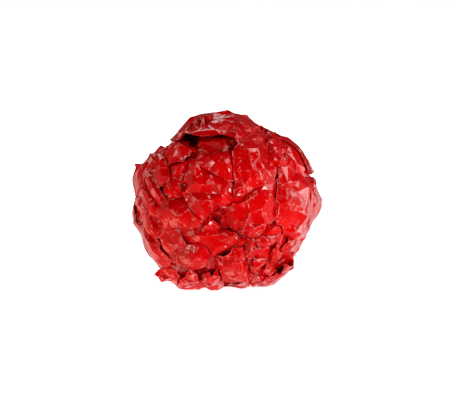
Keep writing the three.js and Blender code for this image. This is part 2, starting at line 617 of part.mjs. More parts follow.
function pointAt(right, up, lift, kind) {
  if (kind === RIM) {
    return lean(new THREE.Vector3(right, -lift, up));
  }
  const limit = outlineRadius(right, up) + lift;
  const reach = Math.min(Math.hypot(right, up) / limit, 1);
  const depth = (HALF_DEPTH + lift) * Math.sqrt(1 - reach * reach);
  return lean(new THREE.Vector3(right, kind === BEHIND ? depth : -depth, up));
}

// A corner of a fold: where it is, and the spot of the smooth base surface that it belongs to.
function authoredCorner([right, up, lift, kind]) {
  return {
    spot: press(pointAt(right, up, lift, kind)),
    base: pointAt(right, up, kind === RIM ? lift : 0, kind),
  };
}

function looseCorner(direction, lift) {
  const at = (height) => {
    const radius = outlineRadius(direction.x, direction.z) + height;
    return lean(new THREE.Vector3(
      direction.x * radius,
      direction.y * (HALF_DEPTH + height),
      direction.z * radius,
    ));
  };
  return { spot: press(at(lift)), base: at(0) };
}

// Two directions square to a given one, as [first, second].
function acrossDirections(outward) {
  const upish = Math.abs(outward.z) < 0.9 ? new THREE.Vector3(0, 0, 1) : new THREE.Vector3(0, 1, 0);
  const first = new THREE.Vector3().crossVectors(upish, outward).normalize();
  const second = new THREE.Vector3().crossVectors(outward, first);
  return [first, second];
}

function turnOf(a, b, c) {
  return (b.x - a.x) * (c.y - a.y) - (b.y - a.y) * (c.x - a.x);
}

function insideCircle(a, b, c, p) {
  const rows = [a, b, c].map((corner) => {
    const dx = corner.x - p.x;
    const dy = corner.y - p.y;
    return [dx, dy, dx * dx + dy * dy];
  });
  return new THREE.Matrix3().set(...rows[0], ...rows[1], ...rows[2]).determinant() > 0;
}

// Splits the triangle that holds each crease point, so every crease point becomes a corner.
function insertPoints(triangles, flat, firstInner) {
  for (let added = firstInner; added < flat.length; added += 1) {
    const holder = triangles.findIndex(([a, b, c]) => (
      turnOf(flat[a], flat[b], flat[added]) > 0
      && turnOf(flat[b], flat[c], flat[added]) > 0
      && turnOf(flat[c], flat[a], flat[added]) > 0
    ));
    if (holder < 0) {
      throw new Error(`crease point ${added - firstInner} lies outside its fold`);
    }
    const [a, b, c] = triangles[holder];
    triangles.splice(holder, 1, [a, b, added], [b, c, added], [c, a, added]);
  }
}

// Turns the shared edge of two triangles where that makes both of them less thin.
function flipOnce(triangles, flat) {
  const owners = new Map();
  for (let index = 0; index < triangles.length; index += 1) {
    for (let corner = 0; corner < 3; corner += 1) {
      const from = triangles[index][corner];
      const to = triangles[index][(corner + 1) % 3];
      const tip = triangles[index][(corner + 2) % 3];
      const other = owners.get(`${to},${from}`);
      owners.set(`${from},${to}`, { index, tip });
      if (
        other
        && insideCircle(flat[from], flat[to], flat[tip], flat[other.tip])
        && turnOf(flat[tip], flat[from], flat[other.tip]) > 0
        && turnOf(flat[other.tip], flat[to], flat[tip]) > 0
      ) {
        triangles[index] = [tip, from, other.tip];
        triangles[other.index] = [other.tip, to, tip];
        return true;
      }
    }
  }
  return false;
}

function triangulate(flat, outlineCount) {
  const triangles = THREE.ShapeUtils.triangulateShape(flat.slice(0, outlineCount), []);
  insertPoints(triangles, flat, outlineCount);
  while (flipOnce(triangles, flat)) {
    // Keep turning edges until none is left to turn.
  }
  return triangles;
}

// Moves each outline corner sideways, away from the fold, by the given distance.
function widened(flat, outlineCount, distance) {
  return flat.map((point, index) => {
    if (index >= outlineCount) {
      return point.clone();
    }
    const before = flat[(index + outlineCount - 1) % outlineCount];
    const after = flat[(index + 1) % outlineCount];
    const arriving = point.clone().sub(before).normalize();
    const leaving = after.clone().sub(point).normalize();
    const outward = new THREE.Vector2(arriving.y + leaving.y, -arriving.x - leaving.x);
    const spread = Math.max(outward.lengthSq() / 2, 0.5);
    return point.clone().addScaledVector(outward, distance / spread);
  });
}

function solidOf(corners, triangles) {
  const mesh = new wasm.Mesh({
    numProp: 3,
    vertProperties: new Float32Array(corners.flatMap((corner) => corner.toArray())),
    triVerts: new Uint32Array(triangles.flat()),
  });
  return new wasm.Manifold(mesh);
}

// A closed slab between two copies of one creased surface.
function slab(outer, inner, triangles, outlineCount) {
  const count = outer.length;
  const faces = [];
  for (const [a, b, c] of triangles) {
    faces.push([a, b, c], [a + count, c + count, b + count]);
  }
  for (let index = 0; index < outlineCount; index += 1) {
    const next = (index + 1) % outlineCount;
    faces.push([index, index + count, next], [next, index + count, next + count]);
  }
  return solidOf([...outer, ...inner], faces);
}

function meanDirection(points) {
  const sum = new THREE.Vector3();
  points.forEach((point) => sum.add(point));
  return sum.normalize();
}

// One leaf of paper through the given corners, and the room it needs cleared around it.
function makeFold(name, outlineCorners, creaseCorners, outward) {
  let outline = outlineCorners;
  const [first, second] = acrossDirections(outward);
  const flatten = (point) => new THREE.Vector2(point.dot(first), point.dot(second));
  if (THREE.ShapeUtils.isClockWise(outline.map((corner) => flatten(corner.base)))) {
    outline = [...outline].reverse();
  }
  const all = [...outline, ...creaseCorners];
  const corners = all.map((corner) => corner.spot);
  const triangles = triangulate(all.map((corner) => flatten(corner.base)), outline.length);
  const shifted = (points, distance) => points.map(
    (point) => point.clone().addScaledVector(outward, distance),
  );
  const flat = corners.map(flatten);
  const wide = widened(flat, outline.length, GAP).map((spot, index) => (
    corners[index].clone()
      .addScaledVector(first, spot.x - flat[index].x)
      .addScaledVector(second, spot.y - flat[index].y)
  ));
  const [room, sideRoom] = [corners, wide].map((points) => slab(
    shifted(points, CUT_OUTWARD),
    shifted(points, -PAPER - GAP),
    triangles,
    outline.length,
  ));
  return {
    name,
    solid: slab(corners, shifted(corners, -PAPER), triangles, outline.length),
    room: room.add(sideRoom),
  };
}

// A front fold faces partly outwards and partly forwards, unless its own facing is given.
function authoredFold({ name, outline, creases, facing }) {
  const corners = outline.map(authoredCorner);
  const forward = lean(new THREE.Vector3(0, -1, 0));
  const direction = facing
    ? lean(new THREE.Vector3(facing[0], -facing[2], facing[1]))
    : meanDirection(corners.map((corner) => corner.spot)).addScaledVector(forward, FORWARD_BIAS);
  return makeFold(name, corners, creases.map(authoredCorner), direction.normalize());
}

// A rough many-sided leaf round a middle direction.
function looseFold(name, middle, { cornerCount, halfAngle, height }, random) {
  const [first, second] = acrossDirections(middle);
  const aim = (turn, tilt) => middle.clone().multiplyScalar(Math.cos(tilt))
    .addScaledVector(first, Math.sin(tilt) * Math.cos(turn))
    .addScaledVector(second, Math.sin(tilt) * Math.sin(turn));
  const ring = ({ count, share, spread, roughness, lift }) => {
    const start = random() * 2 * Math.PI;
    return Array.from({ length: count }, (_, index) => {
      const turn = start + ((index + TURN_SPREAD * random()) / count) * 2 * Math.PI;
      const tilt = halfAngle * (share + spread * (random() - 0.5));
      return looseCorner(aim(turn, tilt), height + lift + roughness * (random() - 0.5));
    });
  };
  const outline = ring({ count: cornerCount, ...OUTLINE_RING });
  const creases = CREASE_RINGS.flatMap(ring);
  const outward = meanDirection(outline.map((corner) => corner.spot));
  return makeFold(name, outline, creases, outward);
}

// The pressed fold that the ball rests on.
function baseFold() {
  const behind = THREE.MathUtils.degToRad(BASE.behindDeg);
  const down = new THREE.Vector3(0, Math.sin(behind), -Math.cos(behind));
  const form = { cornerCount: BASE.corners, halfAngle: BASE.halfAngle, height: BASE.height };
  return looseFold('fold_base', down, form, repeatableRandom(BASE.seed));
}

// The folds of the far side, spread evenly from the back forwards in a spiral.
function backFolds() {
  const random = repeatableRandom(BACK.seed);
  const goldenTurn = Math.PI * (3 - Math.sqrt(5));
  return Array.from({ length: BACK.count }, (_, index) => {
    const away = THREE.MathUtils.lerp(BACK.farthest, BACK.nearest, index / BACK.count);
    const across = Math.sqrt(1 - away * away);
    const turn = index * goldenTurn + BACK.firstTurn;
    const middle = new THREE.Vector3(across * Math.cos(turn), away, across * Math.sin(turn));
    const form = {
      cornerCount: BACK.leastCorners + (index % 3),
      halfAngle: BACK.halfAngle,
      height: BACK.height - BACK.heightSpread * random(),
    };
    return looseFold(`fold_back_${index + 1}`, middle, form, random);
  });
}

// The tight middle of the ball.
function wad() {
  const random = repeatableRandom(WAD.seed);
  const shape = new THREE.IcosahedronGeometry(1, WAD.divisions);
  shape.deleteAttribute('normal');
  shape.deleteAttribute('uv');
  const merged = mergeVertices(shape);
  const spots = merged.getAttribute('position');
  const corners = Array.from({ length: spots.count }, (_, index) => {
    const direction = new THREE.Vector3().fromBufferAttribute(spots, index);
    return looseCorner(direction, WAD.roughness * (2 * random() - 1) - WAD.below).spot;
  });
  const index = Array.from(merged.getIndex().array);
  const triangles = Array.from({ length: index.length / 3 }, (_, face) => (
    index.slice(face * 3, face * 3 + 3)
  ));
  return { name: 'core_wad', solid: solidOf(corners, triangles) };
}

function largestPiece(solid) {
  const pieces = solid.simplify(SMALLEST_DETAIL).decompose();
  return pieces.reduce((best, piece) => (piece.volume() > best.volume() ? piece : best));
}

function toMesh(name, solid, colour) {
  const data = solid.getMesh();
  const geometry = new THREE.BufferGeometry();
  geometry.setAttribute('position', new THREE.BufferAttribute(data.vertProperties, 3));
  geometry.setIndex(new THREE.BufferAttribute(data.triVerts, 1));
  geometry.computeVertexNormals();
  const material = new THREE.MeshStandardMaterial({
    color: colour,
    roughness: GLOSSY_ROUGHNESS,
    metalness: 0,
  });
  const mesh = new THREE.Mesh(geometry, material);
  mesh.name = name;
  return mesh;
}

// ---- assembly ----

const layers = [
  ...flaps.map(authoredFold),
  baseFold(),
  ...frontFolds.map(authoredFold),
  ...backFolds(),
  ...innerFolds.map(authoredFold),
  wad(),
];

// Every layer is cut back to leave room for the folds that lie over it.
layers.forEach((layer, index) => {
  for (const upper of layers.slice(0, index)) {
    layer.solid = layer.solid.subtract(upper.room);
  }
  layer.solid = largestPiece(layer.solid);
});

const ball = new THREE.Group();
ball.name = 'crumpled_paper_ball';

const shades = [0xd8141a, 0xcc1016, 0xe01c20, 0xc40e14];
layers.forEach((layer, index) => {
  ball.add(toMesh(layer.name, layer.solid, shades[index % shades.length]));
});

// The origin lies under the middle of the ball, on the surface it rests on.
const box = new THREE.Box3().setFromObject(ball);
const middle = box.getCenter(new THREE.Vector3());
ball.children.forEach((mesh) => mesh.geometry.translate(-middle.x, -middle.y, -box.min.z));

export default ball;
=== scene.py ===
import json
import math

import bmesh
import bpy
import numpy as np
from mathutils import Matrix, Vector, noise
from mathutils.bvhtree import BVHTree
from mathutils.geometry import delaunay_2d_cdt


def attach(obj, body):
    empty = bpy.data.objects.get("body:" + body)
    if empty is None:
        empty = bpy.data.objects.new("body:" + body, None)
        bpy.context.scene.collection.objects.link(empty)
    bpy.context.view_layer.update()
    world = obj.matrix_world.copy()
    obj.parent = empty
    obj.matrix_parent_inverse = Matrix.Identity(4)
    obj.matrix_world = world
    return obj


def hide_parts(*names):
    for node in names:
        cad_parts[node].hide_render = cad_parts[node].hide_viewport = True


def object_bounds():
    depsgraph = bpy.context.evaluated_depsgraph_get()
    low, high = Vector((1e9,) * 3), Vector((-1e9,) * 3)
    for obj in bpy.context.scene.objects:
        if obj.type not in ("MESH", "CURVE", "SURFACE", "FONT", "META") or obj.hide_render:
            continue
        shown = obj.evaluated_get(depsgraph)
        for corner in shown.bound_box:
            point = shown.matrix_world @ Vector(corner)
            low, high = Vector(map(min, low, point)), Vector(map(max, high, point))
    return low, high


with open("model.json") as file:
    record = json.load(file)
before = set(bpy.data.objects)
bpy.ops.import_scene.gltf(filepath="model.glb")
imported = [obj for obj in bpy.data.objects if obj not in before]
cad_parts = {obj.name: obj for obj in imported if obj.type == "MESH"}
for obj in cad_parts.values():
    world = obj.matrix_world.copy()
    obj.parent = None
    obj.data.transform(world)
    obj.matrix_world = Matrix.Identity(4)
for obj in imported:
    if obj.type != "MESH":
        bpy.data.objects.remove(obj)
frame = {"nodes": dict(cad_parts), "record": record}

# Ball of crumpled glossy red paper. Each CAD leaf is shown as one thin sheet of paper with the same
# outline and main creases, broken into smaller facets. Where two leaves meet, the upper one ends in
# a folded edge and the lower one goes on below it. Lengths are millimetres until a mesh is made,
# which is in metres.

MM = 0.001
cad_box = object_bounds()
ball_low, ball_high = (np.array(corner) / MM for corner in cad_box)
BALL_CENTRE = (ball_low + ball_high) / 2

# The leaves from the outermost inwards. A leaf lies over the ones after it.
FLAPS = ["hood", "corner", "ear", "wing", "tongue", "pocket", "kite"]
FRONT_FOLDS = [
    "breast", "spike", "brow", "cheek_upper", "column", "centre", "cheek_left", "lower_middle",
    "crumple", "apron", "apron_lip", "lump_left", "lump_right", "left_lower", "eye", "upper_right",
    "right_shoulder", "strip_temple", "upper_left", "temple", "temple_upper", "strip_upper",
    "strip_middle", "strip_lower", "jaw", "gully", "kite_root", "right_low_upper",
    "right_low_lower", "knuckle", "right_low_inner", "pocket_side", "low_right_crumple",
    "low_plate", "recess", "wedge",
]
BACK_FOLDS = [f"back_{k}" for k in range(1, 12)]
LAYERS = (
    ["flap_" + n for n in FLAPS] + ["fold_base"]
    + ["fold_" + n for n in FRONT_FOLDS + BACK_FOLDS]
    + ["inner_fold_" + n for n in ("top", "left", "right", "low")]
)

# ---- paper ----

PAPER_THICKNESS = 0.16

# Facets of two sizes, how steep each may be, and a soft bow across them.
LARGE_FACET = 10.0
SMALL_FACET = 4.6
LARGE_SLOPE = 0.34
SMALL_SLOPE = 0.15
FACET_BOW = 0.13
BOW_WAVELENGTH = 9.0

# Spacing of mesh points, and how far beside a crease its nearest ones lie.
MESH_STEP = 1.15
CREASE_FLANK = 0.16
SHARP_TURN = math.radians(28)

# How much of the large and of the small crumpling a leaf gets, by the start of its name.
CRUMPLING = {
    "flap_hood": (0.5, 0.6),
    "flap_tongue": (0.1, 0.12),
    "flap_kite": (0.2, 0.2),
    "flap_": (0.3, 0.35),
    "fold_back": (1.0, 1.0),
    "fold_base": (0.8, 1.0),
    "fold_": (0.42, 0.5),
    "inner_": (0.8, 1.0),
}

# Leaves that curve softly, with the width over which their creases are rounded.
ROUNDED = {"flap_tongue": 1.4}

# Facet nets, in shares of a facet's size: how far past the leaf they reach, and how near two
# corners may lie. Crowding is how many corners are tried for each facet.
NET_MARGIN = 1.6
NET_NEAREST = 0.32
NET_CROWDING = 1.25

# Pleats and ridges: leaf area for each, and the ranges that their sizes are drawn from.
PLEAT_AREA = 380.0
PLEAT_STEP = 0.12
PLEAT_RUN = 7.0
PLEAT_HALF = (4, 9)
PLEAT_HEIGHT = (0.6, 1.1)
RIDGE_AREA = 210.0
RIDGE_HALF = (3, 7)
RIDGE_SLOPE = (0.09, 0.17)
RIDGE_END = 60

# The small crumpling is stronger in some places than in others. Each leaf takes its noise from
# another place, at most NOISE_SHIFT away.
ROUGHNESS_WAVELENGTH = 17
ROUGHNESS_MEAN = 0.75
ROUGHNESS_SPREAD = 0.6
NOISE_SHIFT = 50

# Least cosines: a face that counts as turned away from the ball's middle, a face of a leaf's outer
# side, and a leaf so level that its own axes are taken from Y instead of Z.
FACING_OUT = 0.3
OUTER_FACE = 0.2
LEVEL_LEAF = 0.9

# Mesh points keep this far from a crease, and stray from their grid by this share of a step.
MESH_CLEARANCE = 0.42
MESH_STRAY = 0.3
SHORTEST_LOOP = 6
POINTS_AT_ONCE = 1500
WORN_TURN = math.radians(30)

# A sheet is pressed down near its edge towards the ground below. PRESSED_STEPS are the least step
# that is pressed, the one from which pressing fades, and the one that is left open.
PRESSED_WIDTH = 7.0
COVERED_WIDTH = 3.2
PRESSED_SHARE = 0.8
PRESSED_STEPS = (0.35, 4.2, 6.0)
PRESSED_BLUR = 0.3

# Inner leaves are moved to INNER_CLEARANCE below what covers them: up by at most what is given
# here, and down by at most INNER_SINK.
INNER_RAISE = {
    "inner_fold_top": 0.0,
    "inner_fold_left": 3.0,
    "inner_fold_right": 0.0,
    "inner_fold_low": 2.4,
}
INNER_CLEARANCE = 0.9
INNER_SINK = 1.0

# Rows of an edge, as (outwards, downwards) from the last line of the sheet. A free edge is folded
# back under itself, and the root of a flap goes down. An edge below another leaf goes on outwards:
# for it the second value is the least way down from the row before.
FREE_ROWS = ((0.3, 0.05), (0.32, 0.24), (-0.3, 0.5), (-1.4, 0.8))
FLAP_ROOT_ROWS = ((0.2, 0.2), (0.3, 0.7), (0.2, 1.3), (-0.2, 1.8))
COVERED_ROWS = ((0.5, 0.04), (1.3, 0.12), (2.2, 0.35), (3.1, 1.2))
ROW_MOST_DOWN = 1.3

# An edge looks up for a covering sheet from COVER_BELOW under the paper, as far as COVER_REACH, and
# stays COVER_CLEARANCE below it. It looks down for the ground from PROBE_ABOVE over a spot that is
# PROBE_OUT beyond it. The two ranges are depths over which an edge goes from bound to free.
COVER_CLEARANCE = 0.34
COVER_BELOW = 3.0
COVER_REACH = 8.0
UNDER_FREE = (-1.1, -0.7)
FLAP_ROOT_FREE = (0.25, 0.9)
PROBE_OUT = 0.9
PROBE_ABOVE = 7.0
PROBE_REACH = 16.0

# How often values round an outline are evened, how pale a free edge is marked (worn coating, and
# painted highlight where the edge catches light), and the first seed.
OUTLINE_PASSES = 2
STEP_PASSES = 3
EDGE_WEAR_AND_HIGHLIGHT = 0.75
SEED = 100


def unit(vector):
    return vector / np.linalg.norm(vector)


def smooth(values, low, high):
    share = np.clip((values - low) / (high - low), 0, 1)
    return share * share * (3 - 2 * share)


def noise_at(points, wavelength, offset):
    """Smooth noise from about -1 to 1 at each point."""
    return np.array([noise.noise(Vector(p / wavelength) + offset) for p in points])


# ---- the CAD leaves ----


def cad_mesh(name):
    """Corners and triangles of a CAD node, with equal corners joined."""
    mesh = frame["nodes"][name].data
    mesh.calc_loop_triangles()
    points = np.array([v.co for v in mesh.vertices]) / MM
    corners, index = np.unique(np.round(points, 3), axis=0, return_inverse=True)
    triangles = index.reshape(-1)[np.array([t.vertices[:] for t in mesh.loop_triangles])]
    distinct = [len(set(t)) == 3 for t in triangles.tolist()]
    return corners, triangles[distinct]


def face_normals(corners, triangles):
    """Unit normals and areas of triangles."""
    a, b, c = (corners[triangles[:, k]] for k in range(3))
    cross = np.cross(b - a, c - a)
    size = np.linalg.norm(cross, axis=1)
    return cross / np.maximum(size, 1e-12)[:, None], size / 2


def largest_patch(triangles, areas):
    """The edge-connected set of triangles with the most area, as indices."""
    owners = {}
    for face, t in enumerate(triangles.tolist()):
        for k in range(3):
            owners.setdefault(frozenset((t[k], t[(k + 1) % 3])), []).append(face)
    neighbours = [[] for _ in triangles]
    for faces in owners.values():
        for face in faces:
            neighbours[face].extend(f for f in faces if f != face)
    seen, best, best_area = set(), [], 0.0
    for start in range(len(triangles)):
        if start in seen:
            continue
        patch, stack = [], [start]
        seen.add(start)
        while stack:
            face = stack.pop()
            patch.append(face)
            fresh = [f for f in neighbours[face] if f not in seen]
            seen.update(fresh)
            stack.extend(fresh)
        area = areas[patch].sum()
        if area > best_area:
            best, best_area = patch, area
    return best


class Leaf:
    """The outer face of a CAD leaf, laid out flat: x and y across it, z up from it."""

    def __init__(self, name):
        self.name = name
        corners, triangles = cad_mesh(name)
        normals, areas = face_normals(corners, triangles)
        radial = unit(corners.mean(axis=0) - BALL_CENTRE)
        facing = normals @ radial > FACING_OUT
        self.out = unit((normals[facing] * areas[facing, None]).sum(axis=0))
        outer = normals @ self.out > OUTER_FACE
        triangles, areas = triangles[outer], areas[outer]
        triangles = triangles[largest_patch(triangles, areas)]
        used, index = np.unique(triangles, return_inverse=True)
        self.corners = corners[used]
        self.triangles = index.reshape(-1, 3)
        steep = abs(self.out[2]) < LEVEL_LEAF
        upward = np.array([0, 0, 1.0]) if steep else np.array([0, 1.0, 0])
        self.first = unit(np.cross(upward, self.out))
        self.second = np.cross(self.out, self.first)
        self.origin = self.corners.mean(axis=0)
        self.local = self.to_local(self.corners)

    def to_local(self, points):
        rows = np.array([self.first, self.second, self.out])
        return (points - self.origin) @ rows.T

    def to_row(self, local):
        return self.origin + local @ np.array([self.first, self.second, self.out])

    def edges(self):
        """Each edge of the outer face once."""
        sides = (
            (t[k], t[(k + 1) % 3]) for t in self.triangles.tolist() for k in range(3)
        )
        return sorted({tuple(sorted(side)) for side in sides})


# ---- crumpling ----


def weights_in(points, corners, triangles):
    """For each flat point: the triangle that holds it or lies nearest, its weights, and how far
    inside it is."""
    a, b, c = (corners[triangles[:, k], :2] for k in range(3))
    ab, ac = b - a, c - a
    area = ab[:, 0] * ac[:, 1] - ab[:, 1] * ac[:, 0]
    area = np.where(np.abs(area) < 1e-9, 1e-9, area)
    found, shares, inside = [], [], []
    for part in np.array_split(points, max(1, len(points) // POINTS_AT_ONCE)):
        ap = part[:, None, :2] - a[None]
        second = (ap[..., 0] * ac[:, 1] - ap[..., 1] * ac[:, 0]) / area
        third = (ab[:, 0] * ap[..., 1] - ab[:, 1] * ap[..., 0]) / area
        first = 1 - second - third
        least = np.minimum(np.minimum(first, second), third)
        best = least.argmax(axis=1)
        rows = np.arange(len(part))
        found.append(best)
        shares.append(np.stack([first[rows, best], second[rows, best], third[rows, best]], axis=1))
        inside.append(least[rows, best])
    return np.concatenate(found), np.concatenate(shares), np.concatenate(inside)


def heights_on(points, corners, triangles, heights):
    """Heights at flat points on a surface of flat triangles."""
    found, shares, _ = weights_in(points, corners, triangles)
    shares = np.clip(shares, 0, 1)
    shares /= shares.sum(axis=1)[:, None]
    return (heights[triangles[found]] * shares).sum(axis=1)


class Facets:
    """A net of random facets over a flat area: peaks and dips joined by straight creases."""

    def __init__(self, low, high, size, slope, random):
        low, high = low - size * NET_MARGIN, high + size * NET_MARGIN
        count = int(np.prod(high - low) / size ** 2 * NET_CROWDING)
        spots = random.uniform(low, high, (count, 2))
        apart = np.linalg.norm(spots[:, None] - spots[None], axis=2) + np.eye(count) * size
        first = ~(np.tril(apart < size * NET_NEAREST, -1).any(axis=1))
        spots, nearest = spots[first], np.minimum(apart[first].min(axis=1), size)
        made = delaunay_2d_cdt([Vector(p) for p in spots], [], [], 0, 1e-5)
        self.corners = np.array([p[:] for p in made[0]])
        heights = random.uniform(-1, 1, len(spots)) * nearest * slope
        self.heights = heights[[sources[0] for sources in made[3]]]
        self.triangles = np.array(made[2])
        self.edges = [tuple(e) for e in made[1]]

    def at(self, points):
        return heights_on(points, self.corners, self.triangles, self.heights)


class Pleat:
    """A straight fold-over: the sheet steps up along one line and sinks back beyond it."""

    def __init__(self, middle, random):
        turn = random.uniform(0, 2 * math.pi)
        self.middle = middle
        self.along = np.array([math.cos(turn), math.sin(turn)])
        self.across = np.array([-self.along[1], self.along[0]])
        self.half = random.uniform(*PLEAT_HALF)
        self.height = random.uniform(*PLEAT_HEIGHT)
        ends = [middle + self.along * self.half * side for side in (-1, 1)]
        beyond = [end + self.across * PLEAT_STEP for end in ends]
        self.corners = np.array(ends + beyond)
        self.edges = [(0, 1), (2, 3)]

    def at(self, points):
        rel = points - self.middle
        along = rel @ self.along / self.half
        across = rel @ self.across
        rise = np.clip(across / PLEAT_STEP, 0, 1) * np.clip(1 - across / PLEAT_RUN, 0, 1)
        return self.height * rise * np.clip(1 - along ** 2, 0, 1)


class Ridge:
    """A long straight ridge or trough that runs right across a sheet."""

    def __init__(self, middle, random):
        turn = random.uniform(0, math.pi)
        self.middle = middle
        self.along = np.array([math.cos(turn), math.sin(turn)])
        self.across = np.array([-self.along[1], self.along[0]])
        self.half = random.uniform(*RIDGE_HALF)
        self.height = random.choice([-1, 1]) * random.uniform(*RIDGE_SLOPE) * self.half
        lines = [middle + self.across * self.half * side for side in (-1, 0, 1)]
        ends = (-RIDGE_END, RIDGE_END)
        self.corners = np.array([line + self.along * end for line in lines for end in ends])
        self.edges = [(0, 1), (2, 3), (4, 5)]

    def at(self, points):
        across = (points - self.middle) @ self.across
        return self.height * np.clip(1 - np.abs(across) / self.half, 0, 1)


def scattered(kind, leaf, area_each, random):
    """Pleats or ridges at random spots of a leaf, one for each area_each square millimetres."""
    a, b, c = (leaf.local[leaf.triangles[:, k], :2] for k in range(3))
    sides = np.stack([b - a, c - a], axis=2)
    area = np.abs(np.linalg.det(sides)) / 2
    count = int(area.sum() / area_each)
    chosen = random.choice(len(area), count, p=area / area.sum())
    return [kind((a[k] + b[k] + c[k]) / 3, random) for k in chosen]


def away_from(points, segments, distance):
    """True for each flat point farther than distance from every segment."""
    a, b = segments[:, 0], segments[:, 1]
    along = b - a
    length2 = np.maximum((along ** 2).sum(axis=1), 1e-9)
    clear = []
    for part in np.array_split(points, max(1, len(points) // POINTS_AT_ONCE)):
        rel = part[:, None] - a[None]
        share = np.clip((rel * along).sum(axis=2) / length2, 0, 1)
        gap = rel - share[..., None] * along
        clear.append((np.sqrt((gap ** 2).sum(axis=2)) > distance).all(axis=1))
    return np.concatenate(clear)


def along_segments(segments, step, side):
    """Points along both sides of each segment."""
    found = []
    for a, b in segments:
        length = np.linalg.norm(b - a)
        count = max(1, int(length / step))
        across = np.array([-(b - a)[1], (b - a)[0]]) / max(length, 1e-9) * side
        shares = (np.arange(count) + 0.5)[:, None] / count
        line = a + (b - a) * shares
        found += [line + across, line - across] if side else [line]
    return np.concatenate(found)


def boundary_loops(faces):
    """Closed runs of outline vertices of a set of triangles, counter-clockwise."""
    seen = {(t[k], t[(k + 1) % 3]) for t in faces for k in range(3)}
    after = {}
    for a, b in sorted(seen):
        if (b, a) not in seen:
            after.setdefault(a, []).append(b)
    loops = []
    while after:
        start = min(after)
        loop, here = [], start
        while here in after:
            loop.append(here)
            onward = after[here].pop()
            if not after[here]:
                del after[here]
            here = onward
        if len(loop) >= SHORTEST_LOOP:
            loops.append(loop)
    return loops


def evened(values, passes):
    """Values round a loop, averaged with their neighbours."""
    for _ in range(passes):
        values = (np.roll(values, 1, axis=0) + values * 2 + np.roll(values, -1, axis=0)) / 4
    return values


def flat_mesh(leaf, nets, random):
    """Flat points and triangles that follow every crease of the leaf and of the nets.

    Also gives the mesh edges that lie on a crease, and which points lie on a main crease: one of
    the leaf's own or of any net but the last.
    """
    flat = leaf.local[:, :2]
    low, high = flat.min(axis=0), flat.max(axis=0)
    leaf_edges = leaf.edges()
    corners, edges, start = [flat], list(leaf_edges), len(flat)
    for net in nets:
        main_count = len(edges)
        edges += [(a + start, b + start) for a, b in net.edges]
        corners.append(net.corners)
        start += len(net.corners)
    corners = np.concatenate(corners)
    segments = corners[np.array(edges)]
    steps = [np.arange(low[k], high[k] + MESH_STEP, MESH_STEP) for k in range(2)]
    fill = np.stack(np.meshgrid(*steps), axis=-1).reshape(-1, 2)
    fill += random.uniform(-MESH_STRAY, MESH_STRAY, fill.shape) * MESH_STEP
    flanks = along_segments(segments[:main_count], MESH_STEP, CREASE_FLANK)
    extra = np.concatenate([flanks, fill[away_from(fill, segments, MESH_CLEARANCE)]])
    _, _, inside = weights_in(extra, leaf.local, leaf.triangles)
    extra = extra[inside > 0]
    outline = along_segments(segments[:len(leaf_edges)], MESH_STEP, 0)
    every = [Vector(p) for p in np.concatenate([corners, extra, outline])]
    made = delaunay_2d_cdt(every, edges, [], 0, 1e-4)
    flat_points = np.array([p[:] for p in made[0]])
    faces = np.array(made[2])
    _, _, inside = weights_in(flat_points[faces].mean(axis=1), leaf.local, leaf.triangles)
    used, index = np.unique(faces[inside > -1e-6], return_inverse=True)
    place = {old: new for new, old in enumerate(used.tolist())}
    creases, on_main = [], np.zeros(len(used))
    for (a, b), sources in zip(made[1], made[4]):
        if sources and a in place and b in place:
            creases.append((place[a], place[b]))
            if min(sources) < main_count:
                on_main[[place[a], place[b]]] = 1
    return flat_points[used], index.reshape(-1, 3), creases, on_main


def gap_above(leaf, local, trees, reach):
    """How far the nearest of the given sheets lies above each point, or reach where none does."""
    up = Vector(leaf.out)
    gaps = []
    for spot in leaf.to_row(local):
        start, gap = Vector(spot), reach
        for tree in trees:
            hit = tree.ray_cast(start, up, gap)
            if hit[0]:
                gap = hit[3]
        gaps.append(gap)
    return np.array(gaps)


